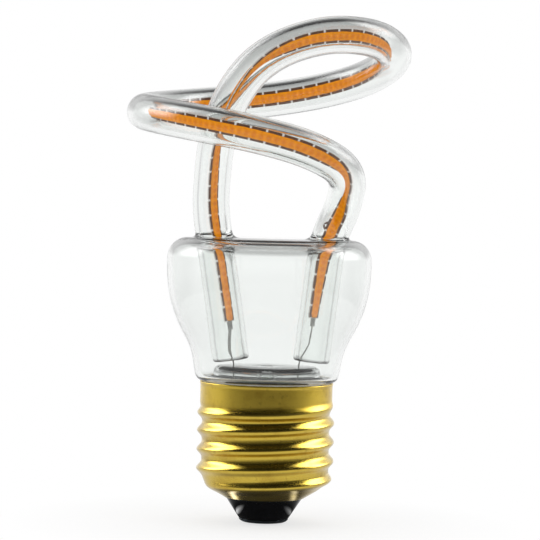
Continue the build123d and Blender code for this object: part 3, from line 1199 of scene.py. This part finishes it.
def draw_coats(settings, stations, frames):
    """The phosphor on the two faces of the strip."""
    bare = round(settings.coat_inset / strip_spacing)
    coated = slice(bare, -bare)
    material = phosphor_material(settings)
    for name, facing in (("front_coat", -1), ("back_coat", 1)):
        draft = Draft()
        sections = coat_sections(settings, stations[coated], facing)
        rings = draw_ribbon(draft, stations[coated], frames[coated], sections)
        lay_out(draft, rings, sections)
        draft.piece(f"{name}_domed", material, "phosphor", name)


def wire_material():
    """Dull plated wire with darker stains."""
    return stained_material(
        "dull_plated_wire", clean=(0.36, 0.36, 0.34), stain=(0.22, 0.21, 0.19),
        stain_scale=900.0, grain_scale=2500.0, rough=(0.3, 0.5), bump=0.2, Metallic=0.85,
    )


def draw_leads(settings, material, stations, frames):
    """The leads: on the left a sleeve that thins to bare wire, on the right thin bent wire."""
    wire_radius = 0.00014
    sleeve_radius = 0.0003
    sleeve_foot = leg_foot_height + 0.0008
    sleeve_taper = 0.0008
    straight = 0.001
    in_tab = 0.0008
    left_bend = leg_foot_height + 0.0028
    left_foot = leg_foot_height + 0.0012
    right_bend = leg_foot_height + 0.004
    right_foot = leg_foot_height + 0.002
    right_foot_lead_x = 0.0071
    lean = Vector((settings.end_lean, 0, 0))
    left_start = [stations[0] - frames[0][0] * in_tab, left_leg(left_bend), left_leg(left_foot)]
    right_start = [
        stations[-1] + frames[-1][0] * in_tab,
        right_leg(right_bend) - lean,
        Vector((right_foot_lead_x, 0, right_foot)),
    ]
    for name, replaced, start, stem_x, solder_x, start_radius in (
        ("left_lead_stepped", "left_lead", left_start, -0.0063, -0.005, sleeve_radius),
        ("right_lead_bent", "right_lead", right_start, 0.0059, 0.005, wire_radius),
    ):
        route = start + [
            Vector((stem_x, 0, stem_top + straight)),
            Vector((stem_x, 0, stem_foot)),
            Vector((solder_x, 0, board_top + straight)),
            Vector((solder_x, 0, board_top)),
        ]
        line = even_stations(smooth_line(route), station_spacing / 2)
        draft = Draft()
        rings = []
        for station, frame_here in zip(line, carried_frames(line, Vector((0, 1, 0)))):
            sleeve = easing((station.z - sleeve_foot) / sleeve_taper)
            radius = wire_radius + (start_radius - wire_radius) * sleeve
            rings.append(draft.ring(round_section(station, frame_here, radius, wire_segments)))
        draft.rod(rings)
        draft.piece(name, material, "plated_wire", replaced)


def draw_terminals(material, stations, frames):
    """The plated tabs that hold the strip's ends."""
    width = 0.0013
    tip_width = width * 0.85
    thickness = 0.0003
    length = 0.0015
    tip_length = 0.0001
    overlap = 0.0003
    reaches = [-overlap, 0, length / 2, length - tip_length, length]
    widths = [width, width, width, width, tip_width]
    sections = [flat_section(wide, thickness) for wide in widths]
    for name, end, outward in (("left_terminal", 0, -1), ("right_terminal", -1, 1)):
        along = frames[end][0] * outward
        places = [stations[end] + along * reach for reach in reaches]
        draft = Draft()
        draw_ribbon(draft, places, [frames[end]] * len(places), sections)
        draft.piece(f"{name}_tab", material, "plated_wire", name)


# Pieces of the cap


def thread_lift(settings, angle, height):
    """How far the rolled thread stands out at an angle round the cap and a height."""
    turns = (height - settings.thread_foot) / settings.thread_pitch
    lift = 0
    for turn in range(-1, ceil(settings.thread_turns) + 1):
        reached = turn + angle / tau
        to_go = settings.thread_turns - reached
        dip = settings.thread_dip * easing((dip_start - to_go) / dip_turns)
        away = turns - reached + dip / settings.thread_pitch
        if abs(away) > 0.5:
            continue
        crest = (0.5 + 0.5 * cos(tau * away)) ** settings.thread_sharpness
        run_in = easing((reached + run_in_start) / run_in_turns)
        run_out = easing((to_go + run_out_turns) / run_out_turns)
        lift = max(lift, settings.thread_depth * crest * run_in * run_out)
    return lift


def shell_profile(settings):
    """The outer profile of the shell without its thread, from the hole in its floor to its rim."""
    root = thread_radius - settings.thread_depth
    collar = thread_radius - settings.collar_inset
    collar_foot = cap_height - settings.collar_height
    hole = 0.0076
    floor_rise = 0.0028
    step_below = 0.0006
    step_above = 0.0002
    bead = 0.00016
    bead_drop = 0.0002
    bead_foot_drop = 0.0006
    lip = 0.00004
    corners = [
        (hole, shell_foot_height),
        (root, shell_foot_height + floor_rise),
        (root, collar_foot - step_below),
        (collar, collar_foot + step_above),
        (collar, cap_height - bead_foot_drop),
        (collar + bead, cap_height - bead_drop),
        (collar + lip, cap_height),
    ]
    bends = [0.0026, 0.0004, 0.0005, 0.0002, 0.0002]
    return rounded(corners, bends, fine_bend_steps)


def draw_shell(settings):
    """The rolled brass shell: floor, thread with its run-outs, step, collar and turned rim."""
    lining_foot = shell_foot_height + 0.003
    lining_step = 6
    lip = settings.sheet / 2
    lip_flat = lip * 0.4
    line = [Vector((radius, 0, height)) for radius, height in shell_profile(settings)]
    rows = [(point.x, point.z) for point in even_stations(line, shell_spacing)]
    rim_radius, rim_height = rows[-1]
    draft = Draft()
    rings = []
    for radius, height in rows:
        points = []
        for angle in angles(shell_segments):
            lifted = radius + thread_lift(settings, angle, height)
            points.append((lifted * cos(angle), lifted * sin(angle), height))
        rings.append(draft.ring(points))
    lining = [(rim_radius - lip_flat, rim_height), (rim_radius - settings.sheet, rim_height - lip)]
    for radius, height in rows[-1 - lining_step::-lining_step]:
        if height > lining_foot:
            lining.append((radius - settings.sheet, height))
    lining.append((rows[0][0], shell_foot_height + settings.sheet))
    rings += [draft.ring(level_circle(*point, shell_segments)) for point in lining]
    draft.skin([*rings, rings[0]])
    draft.piece("screw_shell_rolled", brass_material(settings), "shell_brass", "screw_shell")


def brass_material(settings):
    """Rolled brass: polished crests, duller valleys and collar, handling stains and fine rolling lines."""
    root = thread_radius - settings.thread_depth
    collar_foot = cap_height - settings.collar_height
    valley_span = (root - 0.0002, root + 0.0004)
    valley_dullness = 0.05
    collar_span = (collar_foot - 0.0004, collar_foot + 0.0004)
    collar_dullness = 0.2
    material, tree, shader = new_material("rolled_brass", Metallic=1.0, Coat_Weight=0.6, Coat_Roughness=0.2)
    link = tree.links.new
    stains = place_group(
        tree, "patchy_stain", Clean=solid(settings.brass), Stain=solid(settings.brass_stain),
        Scale=170.0, Start=0.5, Amount=0.75,
    )
    specks = place_group(
        tree, "patchy_stain", Stain=solid(shade(settings.brass_stain, 0.45)),
        Scale=900.0, Start=0.6, Amount=0.5,
    )
    rolling = place_group(tree, "fine_grain", Scale=260.0, Low=0.16, High=0.27, Stretch=(1.0, 1.0, 9.0))
    place = tree.nodes.new("ShaderNodeTexCoord")
    axes = tree.nodes.new("ShaderNodeSeparateXYZ")
    link(place.outputs["Object"], axes.inputs["Vector"])
    flat = vector_node(tree, "MULTIPLY", place.outputs["Object"], (1.0, 1.0, 0.0))
    valleys = range_node(tree, vector_node(tree, "LENGTH", flat), valley_span, (valley_dullness, 0.0))
    collar = range_node(tree, axes.outputs["Z"], collar_span, (0.0, collar_dullness))
    dull = math_node(tree, "ADD", valleys, collar)
    link(stains.outputs["Color"], specks.inputs["Clean"])
    link(specks.outputs["Color"], shader.inputs["Base Color"])
    link(math_node(tree, "ADD", rolling.outputs["Value"], dull), shader.inputs["Roughness"])
    add_bump(tree, shader, rolling.outputs["Height"], strength=0.05, distance=0.0002)
    return material


def draw_insulator(settings):
    """The glossy black cone under the shell, with its flange inside."""
    foot_radius = contact_high.x
    plug_radius = 0.00735
    plug_rise = 0.0006
    flange_radius = insulator_high.x
    flange_height = 0.002
    wire_hole = 0.0007
    corners = [
        (wire_hole, insulator_low.z),
        (foot_radius, insulator_low.z),
        (plug_radius, shell_foot_height),
        (plug_radius, shell_foot_height + plug_rise),
        (flange_radius, insulator_high.z - flange_height),
        (flange_radius, insulator_high.z),
        (wire_hole, insulator_high.z),
        (wire_hole, insulator_low.z),
    ]
    bends = [0.0003, 0.0002, 0.0001, 0.0003, 0.0003, 0.0001]
    draft = Draft()
    draft.lathe(rounded(corners, bends), bell_segments)
    material = stained_material(
        "glossy_black_insulator", settings.insulator, shade(settings.insulator, 2.5),
        stain_scale=500.0, grain_scale=1500.0, rough=(0.05, 0.12), bump=0.05, Specular_IOR_Level=0.5,
    )
    draft.piece("base_insulator_moulded", material, "black_insulator", "base_insulator")


def draw_contact(settings):
    """The tinned contact button: a low dome with a flat tip and a turned-over edge."""
    tip_radius = 0.0032
    dome_rise = 0.0002
    edge_radius = contact_high.x
    edge_turn = 0.0004
    edge_rise = 0.0006
    corners = [
        (0, 0),
        (tip_radius, 0),
        (edge_radius - edge_turn, dome_rise),
        (edge_radius, edge_rise),
        (edge_radius, contact_high.z),
        (0, contact_high.z),
    ]
    bends = [0.0008, 0.0004, 0.0002, 0.0001]
    draft = Draft()
    draft.lathe(rounded(corners, bends), bell_segments)
    # The contact's dark colour is painted shade, darker than clean tin
    material = stained_material(
        "tinned_contact_painted_shade", settings.contact, shade(settings.contact, 0.6),
        stain_scale=700.0, grain_scale=1800.0, rough=(0.28, 0.45), bump=0.1, Metallic=0.9,
    )
    draft.piece("centre_contact_button", material, "contact_metal", "centre_contact")


def draw_cement(settings):
    """The basing cement: a ring with a rough top."""
    gap = 0.00002
    dent = 0.0002
    dent_scale = 900
    outer = cement_high.x
    inner = spigot_radius + gap
    draft = Draft()
    rings = []
    for radius, height, dented in (
        (inner, cement_low.z, 0), (outer, cement_low.z, 0), (outer, cement_high.z, 1),
        ((inner + outer) / 2, cement_high.z, 1), (inner, cement_high.z, 1),
    ):
        points = level_circle(radius, height, bell_segments)
        for point in points:
            point.z -= dented * dent * (1 + noise.noise(point * dent_scale)) / 2
        rings.append(draft.ring(points))
    draft.skin([*rings, rings[0]])
    material = stained_material(
        "basing_cement_matt", settings.cement, shade(settings.cement, 0.6),
        stain_scale=800.0, stain_start=0.45, grain_scale=2400.0, rough=(0.8, 0.95), bump=0.5,
    )
    draft.piece("basing_cement_ring", material, "cement", "basing_cement")


# Parts of the driver, which keep their solids


def dress_node(node, material):
    """A better material on a solid that keeps its shape."""
    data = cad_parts[node].data
    data.materials.clear()
    data.materials.append(material)


def dress_driver():
    """Materials of the driver board, its parts and its wires."""
    mask = stained_material(
        "green_solder_mask", clean=(0.02, 0.12, 0.045), stain=(0.05, 0.2, 0.08),
        stain_scale=400.0, grain_scale=1500.0, rough=(0.3, 0.45), bump=0.15,
    )
    package = stained_material(
        "moulded_package", clean=(0.02, 0.02, 0.02), stain=(0.05, 0.05, 0.05),
        stain_scale=900.0, stain_start=0.55, grain_scale=3000.0, rough=(0.5, 0.7), bump=0.25,
    )
    can = stained_material(
        "drawn_can", clean=(0.6, 0.6, 0.62), stain=(0.45, 0.45, 0.47),
        stain_scale=300.0, grain_scale=1200.0, rough=(0.25, 0.4), bump=0.1, Metallic=1.0,
    )
    fired = stained_material(
        "fired_resistor", clean=(0.55, 0.52, 0.45), stain=(0.4, 0.36, 0.3),
        stain_scale=500.0, grain_scale=1500.0, rough=(0.5, 0.65), bump=0.15,
    )
    jacket = stained_material(
        "red_wire_jacket", clean=(0.45, 0.02, 0.015), stain=(0.3, 0.01, 0.01),
        stain_scale=600.0, grain_scale=2000.0, rough=(0.4, 0.55), bump=0.1,
    )
    for node, material in (
        ("driver_board", mask),
        ("driver_chip", package),
        ("bridge_rectifier", package),
        ("smoothing_capacitor", can),
        ("fuse_resistor", fired),
        ("shell_wire", jacket),
        ("contact_wire", jacket),
    ):
        dress_node(node, material)


# Stage


def studio_world(settings):
    """A white studio: even light on matt surfaces, and a backdrop, a dark top and panels in reflections."""
    world = bpy.data.worlds.new("white_studio")
    world.use_nodes = True
    bpy.context.scene.world = world
    tree = world.node_tree
    place = tree.nodes.new("ShaderNodeTexCoord")
    axes = tree.nodes.new("ShaderNodeSeparateXYZ")
    tree.links.new(place.outputs["Generated"], axes.inputs["Vector"])
    back = axes.outputs["Y"]
    up = axes.outputs["Z"]
    height = math_node(tree, "MULTIPLY_ADD", up, 0.5, 0.5)
    depth = math_node(tree, "MULTIPLY_ADD", back, 0.5, 0.5)
    climb = ramp_node(tree, height, studio_climb)
    sides = ramp_node(tree, math_node(tree, "ABSOLUTE", back), studio_sides)
    through = math_node(tree, "MULTIPLY", climb, sides)
    mirrored = math_node(tree, "MULTIPLY", climb, ramp_node(tree, depth, studio_around))

    level = math_node(tree, "SQRT", math_node(tree, "SUBTRACT", 1.0, math_node(tree, "MULTIPLY", up, up)))
    bearing = math_node(tree, "MULTIPLY_ADD", math_node(tree, "DIVIDE", back, level), 0.5, 0.5)
    panels = ramp_node(tree, bearing, studio_panel_around)
    panels = math_node(tree, "MULTIPLY", panels, ramp_node(tree, height, studio_panel))
    panels = math_node(tree, "MULTIPLY", panels, settings.panel_strength)
    mirrored = math_node(tree, "ADD", mirrored, panels)

    rays = tree.nodes.new("ShaderNodeLightPath")
    camera = rays.outputs["Is Camera Ray"]
    glass = rays.outputs["Is Transmission Ray"]
    gloss = math_node(tree, "MAXIMUM", rays.outputs["Is Glossy Ray"], glass)
    mirrored = math_node(tree, "MULTIPLY", mirrored, math_node(tree, "SUBTRACT", gloss, glass))
    through = math_node(tree, "MULTIPLY", through, glass)
    matt = math_node(tree, "SUBTRACT", 1.0, math_node(tree, "MAXIMUM", gloss, camera))
    even = math_node(tree, "MULTIPLY", matt, settings.ambient)
    total = camera
    for light in (mirrored, through, even):
        total = math_node(tree, "ADD", total, light)
    background = tree.nodes["Background"]
    background.inputs["Color"].default_value = (1, 1, 1, 1)
    tree.links.new(total, background.inputs["Strength"])


def floor_material():
    """White floor: matt with soft shadow near the part, plain white farther off, and painted light in
    reflections.
    """
    material, tree, shader = new_material("white_floor", Base_Color=solid(floor_white), Roughness=0.9)
    link = tree.links.new
    place = tree.nodes.new("ShaderNodeTexCoord")
    axes = tree.nodes.new("ShaderNodeSeparateXYZ")
    link(place.outputs["Object"], axes.inputs["Vector"])
    away = vector_node(tree, "LENGTH", place.outputs["Object"])
    across_x = math_node(tree, "ABSOLUTE", axes.outputs["X"])
    # Painted light seen only in reflections: a painted shadow under the part, a painted streak on each side
    # of the insulator, weaker on the right, and painted shade to the front
    painted_streak = range_node(tree, away, *floor_painted_streak_end)
    painted_streak = math_node(tree, "MULTIPLY", painted_streak, range_node(tree, axes.outputs["X"], *floor_painted_streak_right))
    painted_streak = math_node(tree, "MULTIPLY", painted_streak, range_node(tree, across_x, *floor_painted_streak))
    painted_light = math_node(tree, "MAXIMUM", range_node(tree, away, *floor_painted_shadow), painted_streak)
    painted_light = math_node(tree, "MULTIPLY", painted_light, range_node(tree, axes.outputs["Y"], *floor_painted_front_shade))

    rays = tree.nodes.new("ShaderNodeLightPath")
    camera = rays.outputs["Is Camera Ray"]
    glass = rays.outputs["Is Transmission Ray"]
    gloss = math_node(tree, "MAXIMUM", rays.outputs["Is Glossy Ray"], glass)
    painted_light = math_node(tree, "MAXIMUM", painted_light, math_node(tree, "MULTIPLY", glass, floor_in_glass))
    painted_light = math_node(tree, "MULTIPLY", gloss, painted_light)
    seen = math_node(tree, "MULTIPLY", camera, range_node(tree, away, *floor_fade))
    white = tree.nodes.new("ShaderNodeEmission")
    mix = tree.nodes.new("ShaderNodeMixShader")
    link(math_node(tree, "ADD", painted_light, camera), white.inputs["Strength"])
    link(math_node(tree, "ADD", gloss, seen), mix.inputs["Fac"])
    link(shader.outputs["BSDF"], mix.inputs[1])
    link(white.outputs["Emission"], mix.inputs[2])
    link(mix.outputs["Shader"], tree.nodes["Material Output"].inputs["Surface"])
    return material


def draw_floor(settings):
    """A round floor just under the contact."""
    draft = bmesh.new()
    bmesh.ops.create_circle(draft, cap_ends=True, segments=floor_segments, radius=settings.floor_radius)
    data = bpy.data.meshes.new("floor")
    draft.to_mesh(data)
    draft.free()
    data.materials.append(floor_material())
    floor = bpy.data.objects.new("floor", data)
    floor.location.z = -floor_drop
    bpy.context.scene.collection.objects.link(floor)


def add_softbox(name, place, width, height, strength):
    """A softbox that faces the bulb, with a given brightness of its face."""
    data = bpy.data.lights.new(name, "AREA")
    data.shape = "RECTANGLE"
    data.size = width
    data.size_y = height
    data.energy = strength * pi * width * height
    lamp = bpy.data.objects.new(name, data)
    lamp.location = place
    lamp.rotation_euler = (softbox_aim - lamp.location).to_track_quat("-Z", "Y").to_euler()
    lamp.visible_glossy = False
    lamp.visible_transmission = False
    bpy.context.scene.collection.objects.link(lamp)


def add_camera(settings):
    """The camera at the photograph's place, with its lean."""
    data = bpy.data.cameras.new("camera")
    data.sensor_width = sensor_width
    data.lens = settings.lens
    data.clip_start = camera_clip
    camera = bpy.data.objects.new("camera", data)
    place = Vector((camera_x, -settings.camera_distance, settings.camera_height))
    target = Vector((camera_x, 0, settings.aim_height))
    turn = (target - place).to_track_quat("-Z", "Y").to_matrix().to_4x4()
    camera.matrix_world = Matrix.Translation(place) @ turn @ Matrix.Rotation(settings.camera_roll, 4, "Z")
    bpy.context.scene.collection.objects.link(camera)
    bpy.context.scene.camera = camera


# Operators


class BULB_OT_glass(Operator):
    """Draw the glass envelope and the stem"""

    bl_idname = "bulb.glass"
    bl_label = "Glass"

    def execute(self, context):
        draw_envelope(context.scene.bulb_glass)
        draw_stem(context.scene.bulb_glass)
        return {"FINISHED"}


class BULB_OT_filament(Operator):
    """Draw the strip with its lands, the phosphor and the leads"""

    bl_idname = "bulb.filament"
    bl_label = "Filament"

    def execute(self, context):
        settings = context.scene.bulb_filament
        strip = strip_line(settings)
        draw_strip(settings, *strip)
        draw_coats(settings, *strip)
        wire = wire_material()
        draw_leads(settings, wire, *strip)
        draw_terminals(wire, *strip)
        return {"FINISHED"}


class BULB_OT_cap(Operator):
    """Draw the screw shell, the insulator, the contact and the cement"""

    bl_idname = "bulb.cap"
    bl_label = "Cap"

    def execute(self, context):
        settings = context.scene.bulb_cap
        draw_shell(settings)
        draw_insulator(settings)
        draw_contact(settings)
        draw_cement(settings)
        return {"FINISHED"}


class BULB_OT_driver(Operator):
    """Give the driver in the cap its materials"""

    bl_idname = "bulb.driver"
    bl_label = "Driver"

    def execute(self, context):
        dress_driver()
        return {"FINISHED"}


class BULB_OT_stage(Operator):
    """Set up the studio, the floor, the softboxes and the camera"""

    bl_idname = "bulb.stage"
    bl_label = "Stage"

    def execute(self, context):
        settings = context.scene.bulb_stage
        studio_world(settings)
        draw_floor(settings)
        for name, (place, width, height, share) in softboxes.items():
            add_softbox(name, place, width, height, settings.softbox_strength * share)
        add_camera(settings)
        context.scene.view_settings.view_transform = "Standard"
        return {"FINISHED"}


class BULB_PT_panel(Panel):
    """Sizes, colours and steps of the bulb"""

    bl_idname = "BULB_PT_panel"
    bl_label = "Looped filament bulb"
    bl_space_type = "VIEW_3D"
    bl_region_type = "UI"
    bl_category = "Bulb"

    def draw(self, context):
        for operator, group in (
            (BULB_OT_glass, context.scene.bulb_glass),
            (BULB_OT_filament, context.scene.bulb_filament),
            (BULB_OT_cap, context.scene.bulb_cap),
            (BULB_OT_driver, None),
            (BULB_OT_stage, context.scene.bulb_stage),
        ):
            box = self.layout.box()
            box.operator(operator.bl_idname)
            if group is not None:
                for name in group.__annotations__:
                    box.prop(group, name)


classes = (
    GlassSettings,
    FilamentSettings,
    CapSettings,
    StageSettings,
    BULB_OT_glass,
    BULB_OT_filament,
    BULB_OT_cap,
    BULB_OT_driver,
    BULB_OT_stage,
    BULB_PT_panel,
)


def register():
    """Registers the classes and the settings of the scene."""
    for item in classes:
        bpy.utils.register_class(item)
    bpy.types.Scene.bulb_glass = PointerProperty(type=GlassSettings)
    bpy.types.Scene.bulb_filament = PointerProperty(type=FilamentSettings)
    bpy.types.Scene.bulb_cap = PointerProperty(type=CapSettings)
    bpy.types.Scene.bulb_stage = PointerProperty(type=StageSettings)


def unregister():
    """Removes the settings of the scene and the classes."""
    del bpy.types.Scene.bulb_stage
    del bpy.types.Scene.bulb_cap
    del bpy.types.Scene.bulb_filament
    del bpy.types.Scene.bulb_glass
    for item in reversed(classes):
        bpy.utils.unregister_class(item)


def main():
    """Builds the bulb and its stage."""
    register()
    bpy.ops.bulb.glass()
    bpy.ops.bulb.filament()
    bpy.ops.bulb.cap()
    bpy.ops.bulb.driver()
    bpy.ops.bulb.stage()


if __name__ == "__main__":
    main()
